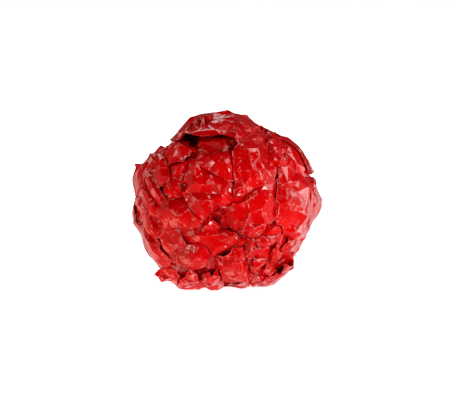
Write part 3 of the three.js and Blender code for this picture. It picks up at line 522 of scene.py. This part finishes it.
class Edge:
    """One loop of a sheet's outline, and what lies over and under it."""

    def __init__(self, leaf, local, loop, trees, everything):
        self.loop = loop
        line = local[loop]
        ahead = np.roll(line, -1, axis=0)[:, :2] - np.roll(line, 1, axis=0)[:, :2]
        across = np.stack([ahead[:, 1], -ahead[:, 0]], axis=1)
        length = np.maximum(np.linalg.norm(across, axis=1), 1e-9)
        self.across = evened(across / length[:, None], OUTLINE_PASSES)
        cover = self.cover_at(leaf, line, PROBE_OUT, trees)
        is_covered = (cover < COVER_REACH - COVER_BELOW).astype(float)
        is_covered = evened(is_covered, OUTLINE_PASSES)
        self.drop_below = np.maximum(COVER_CLEARANCE - cover, 0)
        probes = self.moved(line, PROBE_OUT, -PROBE_ABOVE)
        down = Vector(-leaf.out)
        steps = []
        for probe in leaf.to_row(probes):
            hit = everything.ray_cast(Vector(probe), down, PROBE_REACH)
            steps.append((hit[3] if hit[0] else PROBE_REACH) - PROBE_ABOVE)
        steps = evened(np.array(steps), STEP_PASSES)
        if leaf.name.startswith("flap"):
            self.free = smooth(steps, *FLAP_ROOT_FREE)
        else:
            over = smooth(steps, *UNDER_FREE)
            self.free = over + (1 - smooth(cover, *UNDER_FREE) - over) * is_covered
            self.drop_below *= is_covered * (1 - self.free)
        self.free = evened(self.free, STEP_PASSES)
        least, most, open_step = PRESSED_STEPS
        drop = PRESSED_SHARE * np.clip(steps - least, 0, most)
        self.drop = drop * (1 - smooth(steps, most, open_step)) * (1 - is_covered)

    def moved(self, line, out, down):
        row = line.copy()
        row[:, :2] += self.across * out
        row[:, 2] -= down
        return row

    def cover_at(self, leaf, line, out, trees):
        """Height of the nearest upper sheet above the line, some way outwards from it."""
        below = self.moved(line, out, COVER_BELOW)
        return gap_above(leaf, below, trees, COVER_REACH) - COVER_BELOW

    def rows(self, leaf, local, trees):
        """The hidden edge of the sheet, as rows of points beyond its outline."""
        line = local[self.loop]
        is_flap = leaf.name.startswith("flap")
        other_rows = FLAP_ROOT_ROWS if is_flap else COVERED_ROWS
        level = line[:, 2]
        rows = []
        for (other_out, other_down), (free_out, free_down) in zip(other_rows, FREE_ROWS):
            if is_flap:
                height = line[:, 2] - other_down
            else:
                before = line.copy()
                before[:, 2] = level
                cover = self.cover_at(leaf, before, other_out, trees)
                down = np.clip(COVER_CLEARANCE - cover, other_down, ROW_MOST_DOWN)
                level = evened(level - down, 1)
                height = level
            row = self.moved(line, other_out + (free_out - other_out) * self.free[:, None], 0)
            row[:, 2] = height + (line[:, 2] - free_down - height) * self.free
            rows.append(row)
        return rows


def press_edges(local, edges):
    """Bends the sheet down near its edges, towards what it lies on or below what covers it."""
    line = np.concatenate([local[edge.loop] for edge in edges])
    drop = np.concatenate([edge.drop for edge in edges])
    drop_below = np.concatenate([edge.drop_below for edge in edges])
    down = np.zeros(len(local))
    for part in np.array_split(np.arange(len(local)), max(1, len(local) // POINTS_AT_ONCE)):
        gap = np.linalg.norm(local[part][:, None, :2] - line[None, :, :2], axis=2)
        near = 1 / (gap + PRESSED_BLUR) ** 2
        even = (near * drop).sum(axis=1) / near.sum(axis=1)
        rim = ((1 - smooth(gap, 0, COVERED_WIDTH)) * drop_below).max(axis=1)
        down[part] = np.maximum(even * (1 - smooth(gap.min(axis=1), 0, PRESSED_WIDTH)), rim)
    local[:, 2] -= down


def worn_creases(local, faces, crease):
    """How worn each point is: 1 on a sharp ridge of a main crease, 0 elsewhere."""
    normals, _ = face_normals(local, faces)
    owners = {}
    for face, t in enumerate(faces.tolist()):
        for k in range(3):
            a, b = t[k], t[(k + 1) % 3]
            if crease[a] and crease[b]:
                owners.setdefault((min(a, b), max(a, b)), []).append((face, t[(k + 2) % 3]))
    worn = np.zeros(len(local))
    for (a, b), sides in owners.items():
        if len(sides) == 2:
            (one, _), (two, tip) = sides
            rise = (local[tip] - local[a]) @ normals[one]
            bend = math.acos(max(-1.0, min(1.0, normals[one] @ normals[two])))
            if rise < 0:
                value = min(1.0, bend / WORN_TURN)
                worn[a], worn[b] = max(worn[a], value), max(worn[b], value)
    return worn


def rounded(points, heights, width):
    """Heights averaged over their surroundings, so that creases turn into curves."""
    even = np.empty_like(heights)
    for part in np.array_split(np.arange(len(points)), max(1, len(points) // POINTS_AT_ONCE)):
        gap = np.linalg.norm(points[part][:, None] - points[None], axis=2)
        near = np.exp(-((gap / width) ** 2))
        even[part] = (near * heights).sum(axis=1) / near.sum(axis=1)
    return even


def sheet_of(name, seed, trees, everything):
    """The crumpled sheet of one CAD leaf: row-frame vertices, faces, crease edges, and pale marks of
    worn ridges and of free edges, where the pale line is partly a painted highlight.
    """
    random = np.random.default_rng(seed)
    leaf = Leaf(name)
    flat = leaf.local[:, :2]
    low, high = flat.min(axis=0), flat.max(axis=0)
    large = Facets(low, high, LARGE_FACET, LARGE_SLOPE, random)
    small = Facets(low, high, SMALL_FACET, SMALL_SLOPE, random)
    strokes = scattered(Pleat, leaf, PLEAT_AREA, random)
    strokes += scattered(Ridge, leaf, RIDGE_AREA, random)
    points, faces, creases, on_main = flat_mesh(leaf, [large, *strokes, small], random)
    heights = heights_on(points, leaf.local, leaf.triangles, leaf.local[:, 2])
    if name in ROUNDED:
        heights = rounded(points, heights, ROUNDED[name])
        creases = []
    spots = leaf.to_row(np.column_stack([points, heights]))
    offset = Vector(random.uniform(-NOISE_SHIFT, NOISE_SHIFT, 3))
    rough = ROUGHNESS_MEAN + ROUGHNESS_SPREAD * noise_at(spots, ROUGHNESS_WAVELENGTH, offset)
    large_share, small_share = next(v for start, v in CRUMPLING.items() if name.startswith(start))
    heights += large_share * (large.at(points) + sum(stroke.at(points) for stroke in strokes))
    heights += small_share * rough * small.at(points)
    heights += FACET_BOW * noise_at(spots, BOW_WAVELENGTH, offset)
    local = np.column_stack([points, heights])
    if name in INNER_RAISE:
        room = gap_above(leaf, local, trees, PROBE_REACH) - INNER_CLEARANCE
        local[:, 2] += np.clip(room, -INNER_SINK, INNER_RAISE[name])
    edges = [Edge(leaf, local, loop, trees, everything) for loop in boundary_loops(faces.tolist())]
    press_edges(local, edges)
    worn = worn_creases(local, faces, on_main)
    vertices, faces = [local], faces.tolist()
    count = len(local)
    for edge in edges:
        upper = edge.loop
        for row in edge.rows(leaf, local, trees):
            lower = list(range(count, count + len(row)))
            for k in range(len(upper)):
                n = (k + 1) % len(upper)
                faces.append((upper[n], upper[k], lower[k], lower[n]))
            vertices.append(row)
            count += len(row)
            upper = lower
    vertices = leaf.to_row(np.concatenate(vertices))
    vertices[:, 2] = np.maximum(vertices[:, 2], 0)
    marks = np.zeros(len(vertices))
    marks[:len(worn)] = worn
    start = len(worn)
    for edge in edges:
        # Free edges get a pale mark: partly worn coating, partly a painted highlight where the edge
        # catches light.
        marks[start:start + len(edge.loop)] = EDGE_WEAR_AND_HIGHLIGHT * edge.free
        start += len(edge.loop) * len(FREE_ROWS)
    return vertices, faces, creases, marks


# ---- materials ----


def node(tree, kind, **settings):
    made = tree.nodes.new(kind)
    for key, value in settings.items():
        setattr(made, key, value)
    return made


def math_node(tree, operation, first, second, clamp=False):
    made = node(tree, "ShaderNodeMath", operation=operation, use_clamp=clamp)
    for socket, value in zip(made.inputs, (first, second)):
        if isinstance(value, (int, float)):
            socket.default_value = value
        else:
            tree.links.new(value, socket)
    return made.outputs[0]


def range_node(tree, value, low, high, to_low=0.0, to_high=1.0):
    made = node(tree, "ShaderNodeMapRange")
    tree.links.new(value, made.inputs["Value"])
    made.inputs["From Min"].default_value = low
    made.inputs["From Max"].default_value = high
    made.inputs["To Min"].default_value = to_low
    made.inputs["To Max"].default_value = to_high
    return made.outputs[0]


def noise_node(tree, place, scale, detail=2.0):
    made = node(tree, "ShaderNodeTexNoise")
    tree.links.new(place, made.inputs["Vector"])
    made.inputs["Scale"].default_value = scale
    made.inputs["Detail"].default_value = detail
    return made.outputs[0]


def cells_node(tree, place, scale, feature):
    made = node(tree, "ShaderNodeTexVoronoi", feature=feature)
    tree.links.new(place, made.inputs["Vector"])
    made.inputs["Scale"].default_value = scale
    return made.outputs["Distance"]


# Scales are in cells per metre. The pairs are the range of a noise, of the distance to a cell's
# edge or of the crease attribute over which an effect comes in or dies out.
CRACK_CELLS = 260
CRACK_WIDTH = (0.0, 0.03)
CRACK_PATCHES, CRACK_PATCH_RANGE = 80, (0.58, 0.7)
FINE_CRACK_SHARE = 0.35
WEAR_AND_HIGHLIGHT_RANGE = (0.45, 0.9)
WEAR_AND_HIGHLIGHT_BREAKS, WEAR_AND_HIGHLIGHT_BREAK_RANGE = 170, (0.47, 0.62)
SPECK_CELLS, SPECK_SIZE = 300, (0.1, 0.16)
SPECK_PATCHES, SPECK_PATCH_RANGE = 150, (0.69, 0.73)
LINE_SHARE = 0.6
SHADE_CELLS, SHADE_RANGE = 42, (0.35, 0.65)
SHADE_DARKER = (0.85, 0.8, 0.8)
DULL_CELLS, DULL_RANGE = 120, (0.3, 0.7)
DULL_ROUGHNESS = (0.32, 0.45)
PAPER_IOR = 1.5
DENT_RANGE = (0.0, 0.3)
GRAIN_CELLS, GRAIN_SHARE = 420, 0.3
DENT_STRENGTH, DENT_DEPTH = 0.14, 0.0001
FIBRE_CELLS, FIBRE_DETAIL, FIBRE_RANGE = 500, 4.0, (0.3, 0.7)
FIBRE_DARKER = 0.8


def coated_paper(name, red, crack_and_highlight_colour, coat_roughness):
    """Glossy coated paper: red, paler along cracks in its coating at creases and along free edges,
    where the pale line is partly a painted highlight.
    """
    material = bpy.data.materials.new(name)
    material.use_nodes = True
    tree = material.node_tree
    shader = tree.nodes["Principled BSDF"]
    place = node(tree, "ShaderNodeTexCoord").outputs["Object"]
    creases = cells_node(tree, place, CRACK_CELLS, "DISTANCE_TO_EDGE")
    fine_line = range_node(tree, creases, *CRACK_WIDTH, 1.0, 0.0)
    patches = range_node(tree, noise_node(tree, place, CRACK_PATCHES), *CRACK_PATCH_RANGE)
    fine_crack = math_node(tree, "MULTIPLY", fine_line, patches)
    # The crease attribute marks worn ridges and free edges; on free edges the pale line is partly a
    # painted highlight.
    mark = node(tree, "ShaderNodeAttribute", attribute_name="crease").outputs["Fac"]
    sharp_mark = range_node(tree, mark, *WEAR_AND_HIGHLIGHT_RANGE)
    broken = range_node(tree, noise_node(tree, place, WEAR_AND_HIGHLIGHT_BREAKS), *WEAR_AND_HIGHLIGHT_BREAK_RANGE)
    crack_and_edge_highlight = math_node(tree, "MULTIPLY", sharp_mark, broken)
    dots = range_node(tree, cells_node(tree, place, SPECK_CELLS, "F1"), *SPECK_SIZE, 1.0, 0.0)
    rare = range_node(tree, noise_node(tree, place, SPECK_PATCHES), *SPECK_PATCH_RANGE)
    specks = math_node(tree, "MULTIPLY", dots, rare)
    faint_crack = math_node(tree, "MULTIPLY", fine_crack, FINE_CRACK_SHARE)
    lines = math_node(tree, "MAXIMUM", faint_crack, crack_and_edge_highlight)
    faint_lines = math_node(tree, "MULTIPLY", lines, LINE_SHARE)
    wear_and_highlight = math_node(tree, "MAXIMUM", faint_lines, specks, clamp=True)
    tint = node(tree, "ShaderNodeMix", data_type="RGBA")
    tree.links.new(wear_and_highlight, tint.inputs["Factor"])
    shade = node(tree, "ShaderNodeMix", data_type="RGBA")
    darker = range_node(tree, noise_node(tree, place, SHADE_CELLS), *SHADE_RANGE)
    tree.links.new(darker, shade.inputs["Factor"])
    shade.inputs["A"].default_value = (*red, 1)
    shade.inputs["B"].default_value = (*[c * share for c, share in zip(red, SHADE_DARKER)], 1)
    tree.links.new(shade.outputs["Result"], tint.inputs["A"])
    tint.inputs["B"].default_value = (*crack_and_highlight_colour, 1)
    tree.links.new(tint.outputs["Result"], shader.inputs["Base Color"])
    dull = range_node(tree, noise_node(tree, place, DULL_CELLS), *DULL_RANGE, *DULL_ROUGHNESS)
    tree.links.new(dull, shader.inputs["Roughness"])
    shader.inputs["IOR"].default_value = PAPER_IOR
    shader.inputs["Specular IOR Level"].default_value = 0.0
    shader.inputs["Coat Weight"].default_value = 1.0
    shader.inputs["Coat Roughness"].default_value = coat_roughness
    shader.inputs["Coat IOR"].default_value = PAPER_IOR
    bump = node(tree, "ShaderNodeBump")
    bump.inputs["Strength"].default_value = DENT_STRENGTH
    bump.inputs["Distance"].default_value = DENT_DEPTH
    facet = range_node(tree, creases, *DENT_RANGE)
    grain = math_node(tree, "MULTIPLY", noise_node(tree, place, GRAIN_CELLS), GRAIN_SHARE)
    tree.links.new(math_node(tree, "ADD", facet, grain), bump.inputs["Height"])
    tree.links.new(bump.outputs["Normal"], shader.inputs["Normal"])
    return material


def plain_paper(name, colour, roughness):
    """Uncoated paper, as on a cut edge or the reverse."""
    material = bpy.data.materials.new(name)
    material.use_nodes = True
    tree = material.node_tree
    shader = tree.nodes["Principled BSDF"]
    place = node(tree, "ShaderNodeTexCoord").outputs["Object"]
    fibres = range_node(tree, noise_node(tree, place, FIBRE_CELLS, FIBRE_DETAIL), *FIBRE_RANGE)
    mix = node(tree, "ShaderNodeMix", data_type="RGBA")
    tree.links.new(fibres, mix.inputs["Factor"])
    mix.inputs["A"].default_value = (*colour, 1)
    mix.inputs["B"].default_value = (*[c * FIBRE_DARKER for c in colour], 1)
    tree.links.new(mix.outputs["Result"], shader.inputs["Base Color"])
    shader.inputs["Roughness"].default_value = roughness
    return material


# The first colour is the pale pink of cracked coating and of the painted highlight along free edges.
PALE_CRACK_AND_HIGHLIGHT = (0.95, 0.5, 0.46)
CUT_EDGE = (0.8, 0.35, 0.33)
REVERSE = (0.6, 0.012, 0.016)

# Red of the paper and roughness of its coating by material slot. Inner paper is painted a darker
# red, as painted shade for the recesses it lies in, and its coating is duller.
COATED = {
    "red_paper": ((0.7, 0.0012, 0.0022), 0.045),
    "red_paper_flap": ((0.66, 0.0012, 0.0026), 0.04),
    "red_paper_inner": ((0.5, 0.002, 0.004), 0.14),
}
papers = {
    slot: coated_paper("coated_" + slot, red, PALE_CRACK_AND_HIGHLIGHT, coat_roughness)
    for slot, (red, coat_roughness) in COATED.items()
}
cut_edge = plain_paper("paper_cut_edge", CUT_EDGE, 0.6)
reverse = plain_paper("paper_reverse", REVERSE, 0.42)

# ---- pieces ----

node_body = {n: b for b, members in frame["record"]["behaviour"]["bodies"].items() for n in members}
node_slot = {s["node"]: s["material_slot"] for s in frame["record"]["subparts"]}


def sharpen(mesh, creases):
    """Marks the creases and the tight turns of a mesh as sharp, and leaves the rest smooth."""
    mesh.polygons.foreach_set("use_smooth", [True] * len(mesh.polygons))
    mesh.set_sharp_from_angle(angle=SHARP_TURN)
    ends = np.empty(len(mesh.edges) * 2, dtype=np.int64)
    mesh.edges.foreach_get("vertices", ends)
    ends = np.sort(ends.reshape(-1, 2), axis=1)
    marked = np.sort(np.array(creases, dtype=np.int64).reshape(-1, 2), axis=1)
    span = len(mesh.vertices)
    on_crease = np.isin(ends[:, 0] * span + ends[:, 1], marked[:, 0] * span + marked[:, 1])
    sharp = mesh.attributes.get("sharp_edge")
    if not sharp:
        sharp = mesh.attributes.new("sharp_edge", "BOOLEAN", "EDGE")
    tight = np.empty(len(mesh.edges), dtype=bool)
    sharp.data.foreach_get("value", tight)
    sharp.data.foreach_set("value", tight | on_crease)


def add_piece(name, node_name, vertices, faces, creases, marks):
    mesh = bpy.data.meshes.new(name)
    mesh.from_pydata((vertices * MM).tolist(), [], faces)
    mesh.validate()
    sharpen(mesh, creases)
    attribute = mesh.attributes.new("crease", "FLOAT", "POINT")
    attribute.data.foreach_set("value", marks.astype(np.float32))
    for material in (papers[node_slot[node_name]], cut_edge, reverse):
        mesh.materials.append(material)
    piece = bpy.data.objects.new(name, mesh)
    bpy.context.scene.collection.objects.link(piece)
    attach(piece, node_body[node_name])
    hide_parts(node_name)
    return piece


def thicken(piece):
    shell = piece.modifiers.new("paper", "SOLIDIFY")
    shell.thickness = PAPER_THICKNESS * MM
    shell.offset = -1
    shell.material_offset = 2
    shell.material_offset_rim = 1


def joined(meshes):
    """One search tree of several sets of points and faces."""
    points, faces, start = [], [], 0
    for some_points, some_faces in meshes:
        points.append(some_points)
        faces += [[corner + start for corner in face] for face in some_faces]
        start += len(some_points)
    return BVHTree.FromPolygons(np.concatenate(points).tolist(), faces)


everything = joined([cad_mesh(name) for name in LAYERS])
sheets = []
for number, name in enumerate(LAYERS):
    corners, _ = cad_mesh(name)
    middle = corners.mean(axis=0)
    radius = np.linalg.norm(corners - middle, axis=1).max() + COVER_REACH
    near = [
        tree for _, _, tree, other_middle, other_radius in sheets
        if np.linalg.norm(other_middle - middle) < radius + other_radius
    ]
    vertices, faces, creases, marks = sheet_of(name, SEED + number, near, everything)
    sheets.append((vertices, faces, joined([(vertices, faces)]), middle, radius))
    thicken(add_piece(name + "_paper", name, vertices, faces, creases, marks))

# ---- the wad inside, crumpled and packed up against the sheets ----

# A crumpled ellipsoid, WAD_BELOW inside the ball's box and WAD_CLEARANCE below the sheets. Its folds
# pass the middle by at most WAD_OFF_CENTRE of the radius.
WAD_SEED = 5
WAD_BELOW = 2.0
WAD_CLEARANCE = 0.9
WAD_CREASES = 26
WAD_DETAIL = 6
WAD_OFF_CENTRE = 0.8


def wad_mesh():
    shown = joined([(vertices, faces) for vertices, faces, *_ in sheets])
    ball = bmesh.new()
    bmesh.ops.create_icosphere(ball, subdivisions=WAD_DETAIL, radius=1)
    directions = np.array([v.co for v in ball.verts])
    faces = [[v.index for v in f.verts] for f in ball.faces]
    ball.free()
    random = np.random.default_rng(WAD_SEED)
    axes = random.normal(size=(WAD_CREASES, 3))
    axes /= np.linalg.norm(axes, axis=1)[:, None]
    offsets = random.uniform(-WAD_OFF_CENTRE, WAD_OFF_CENTRE, WAD_CREASES)
    folds = np.abs(directions @ axes.T - offsets).sum(axis=1)
    folds = (folds - folds.mean()) / folds.std()
    half = (ball_high - ball_low) / 2
    radii = 1 / np.linalg.norm(directions / half, axis=1) - WAD_BELOW + folds
    for k, direction in enumerate(directions):
        hit = shown.ray_cast(Vector(BALL_CENTRE), Vector(direction))
        if hit[0]:
            radii[k] = min(radii[k], hit[3] - WAD_CLEARANCE)
    return BALL_CENTRE + directions * radii[:, None], faces


vertices, faces = wad_mesh()
add_piece("core_wad_paper", "core_wad", vertices, faces, [], np.zeros(len(vertices)))

# ---- floor, light and camera, in metres ----

FLOOR_HALF = 3.0
FLOOR_COLOUR = (0.9, 0.9, 0.9)
FLOOR_GLOW = 0.9
CORNERS = ((-1, -1), (1, -1), (1, 1), (-1, 1))
floor_mesh = bpy.data.meshes.new("floor")
floor_mesh.from_pydata(
    [(x * FLOOR_HALF, y * FLOOR_HALF, 0) for x, y in CORNERS],
    [],
    [(0, 1, 2, 3)],
)
floor = bpy.data.objects.new("floor", floor_mesh)
bpy.context.scene.collection.objects.link(floor)
floor_paper = plain_paper("floor_white", FLOOR_COLOUR, 0.9)
floor_shader = floor_paper.node_tree.nodes["Principled BSDF"]
floor_shader.inputs["Emission Color"].default_value = (1, 1, 1, 1)
floor_shader.inputs["Emission Strength"].default_value = FLOOR_GLOW
floor_mesh.materials.append(floor_paper)
floor.visible_glossy = False

# The surround as reflections see it. A side is an axis, where along it the pale part begins and
# ends, and its strength.
AMBIENT = 0.05
REFLECTED_SIDES = [("Y", 0.3, 0.9, 0.04), ("X", 0.7, 0.9, 0.5), ("X", -0.6, -0.9, 0.3),
                   ("Z", -0.45, -0.9, 0.35)]
PANEL_CELLS, PANEL_EDGE, PANEL_STRENGTH = 2.6, (0.6, 0.61), 2.0
PANELS_OFF_FRONT, PANELS_OFF_BACK = (-0.85, -0.7), (0.85, 0.6)
WARM_SIDE, WARM_TINT = (0.0, -0.6), (1, 0.72, 0.6, 1)

# White cards, seen only in reflections: direction, cosine of half the width, strength. They are
# aimed so that leaves of the front glint at the camera.
CARD_EDGE = 0.004
CARDS = [
    ((0.62, 0.15, 0.77), 0.97, 4.5),
    ((0.76, 0.64, -0.11), 0.98, 1.2),
    ((0.33, 0.87, -0.36), 0.93, 0.7),
    ((-0.45, 0.86, -0.24), 0.93, 0.6),
]


def studio_world():
    """The surround: white to look at, dim as light, dark with pale parts in reflections."""
    world = bpy.data.worlds.new("studio")
    bpy.context.scene.world = world
    world.use_nodes = True
    tree = world.node_tree
    direction = node(tree, "ShaderNodeTexCoord").outputs["Generated"]
    parts = node(tree, "ShaderNodeSeparateXYZ")
    tree.links.new(direction, parts.inputs[0])
    sides = 0.0
    for axis, begins, ends, strength in REFLECTED_SIDES:
        side = range_node(tree, parts.outputs[axis], begins, ends, 0.0, strength)
        sides = math_node(tree, "MAXIMUM", side, sides)
    pattern = noise_node(tree, direction, PANEL_CELLS)
    panels = range_node(tree, pattern, *PANEL_EDGE, 0.0, PANEL_STRENGTH)
    off_front = range_node(tree, parts.outputs["Y"], *PANELS_OFF_FRONT)
    off_back = range_node(tree, parts.outputs["Y"], *PANELS_OFF_BACK)
    beside = math_node(tree, "MULTIPLY", off_front, off_back)
    reflected = math_node(tree, "ADD", sides, math_node(tree, "MULTIPLY", panels, beside))
    for card_direction, edge, strength in CARDS:
        toward = node(tree, "ShaderNodeVectorMath", operation="DOT_PRODUCT")
        tree.links.new(direction, toward.inputs[0])
        toward.inputs[1].default_value = card_direction
        card = range_node(tree, toward.outputs["Value"], edge, edge + CARD_EDGE, 0.0, strength)
        reflected = math_node(tree, "ADD", reflected, card)
    warmth = node(tree, "ShaderNodeMix", data_type="RGBA")
    tree.links.new(range_node(tree, parts.outputs["X"], *WARM_SIDE), warmth.inputs["Factor"])
    warmth.inputs["A"].default_value = (1, 1, 1, 1)
    warmth.inputs["B"].default_value = WARM_TINT
    in_gloss = node(tree, "ShaderNodeBackground")
    tree.links.new(reflected, in_gloss.inputs["Strength"])
    tree.links.new(warmth.outputs["Result"], in_gloss.inputs["Color"])
    ambient = tree.nodes["Background"]
    ambient.inputs["Color"].default_value = (1, 1, 1, 1)
    ambient.inputs["Strength"].default_value = AMBIENT
    seen = node(tree, "ShaderNodeBackground")
    seen.inputs["Color"].default_value = (1, 1, 1, 1)
    rays = node(tree, "ShaderNodeLightPath")
    light = node(tree, "ShaderNodeMixShader")
    tree.links.new(rays.outputs["Is Glossy Ray"], light.inputs[0])
    tree.links.new(ambient.outputs[0], light.inputs[1])
    tree.links.new(in_gloss.outputs[0], light.inputs[2])
    mix = node(tree, "ShaderNodeMixShader")
    tree.links.new(rays.outputs["Is Camera Ray"], mix.inputs[0])
    tree.links.new(light.outputs[0], mix.inputs[1])
    tree.links.new(seen.outputs[0], mix.inputs[2])
    tree.links.new(mix.outputs[0], tree.nodes["World Output"].inputs["Surface"])


def softbox(name, place, size, power, in_gloss):
    """An area light aimed at the ball; place and size are in metres."""
    lamp = bpy.data.lights.new(name, "AREA")
    lamp.shape = "RECTANGLE"
    lamp.size, lamp.size_y = size
    lamp.energy = power
    made = bpy.data.objects.new(name, lamp)
    made.location = place
    aim = Vector(BALL_CENTRE * MM) - Vector(place)
    made.rotation_mode = "QUATERNION"
    made.rotation_quaternion = aim.to_track_quat("-Z", "Y")
    made.visible_glossy = in_gloss
    bpy.context.scene.collection.objects.link(made)


studio_world()

# Lamps: name, place and size in metres, power in watts, and whether reflections show them.
LAMPS = [
    ("key_light", (1.0, -0.8, 0.36), (0.2, 0.2), 6.7, False),
    ("key_gloss", (0.95, -0.8, 0.4), (0.2, 0.24), 2.2, True),
    ("fill_left", (-1.0, -0.5, 0.5), (0.3, 0.3), 0.9, False),
    ("fill_top", (0.1, 0.3, 1.2), (0.3, 0.3), 4.5, False),
    ("gloss_left", (-1.0, -0.5, 0.4), (0.12, 0.5), 1.2, True),
    ("gloss_top", (-0.1, -0.1, 1.2), (0.2, 0.3), 0.65, True),
    ("gloss_back", (-0.2, 1.2, 0.6), (0.5, 0.3), 0.6, True),
    ("fill_back", (-0.7, 0.9, 0.6), (0.3, 0.3), 6, False),
]
for lamp in LAMPS:
    softbox(*lamp)

CAMERA_ELEVATION = math.radians(10)
CAMERA_DISTANCE = 1.2
FRAME_WIDTH = 0.2368
AIM_RIGHT, AIM_UP = -0.0013, -0.0029
CLIP = (0.05, 20)
camera = bpy.data.objects.new("camera", bpy.data.cameras.new("camera"))
bpy.context.scene.collection.objects.link(camera)
camera.data.lens = camera.data.sensor_width * CAMERA_DISTANCE / FRAME_WIDTH
camera.rotation_euler = (math.pi / 2 - CAMERA_ELEVATION, 0, 0)
back = Vector((0, -math.cos(CAMERA_ELEVATION), math.sin(CAMERA_ELEVATION)))
up = Vector((0, math.sin(CAMERA_ELEVATION), math.cos(CAMERA_ELEVATION)))
aim = Vector(BALL_CENTRE * MM) + Vector((AIM_RIGHT, 0, 0)) + up * AIM_UP
camera.location = aim + back * CAMERA_DISTANCE
camera.data.clip_start, camera.data.clip_end = CLIP
bpy.context.scene.camera = camera
bpy.context.scene.view_settings.view_transform = "Standard"
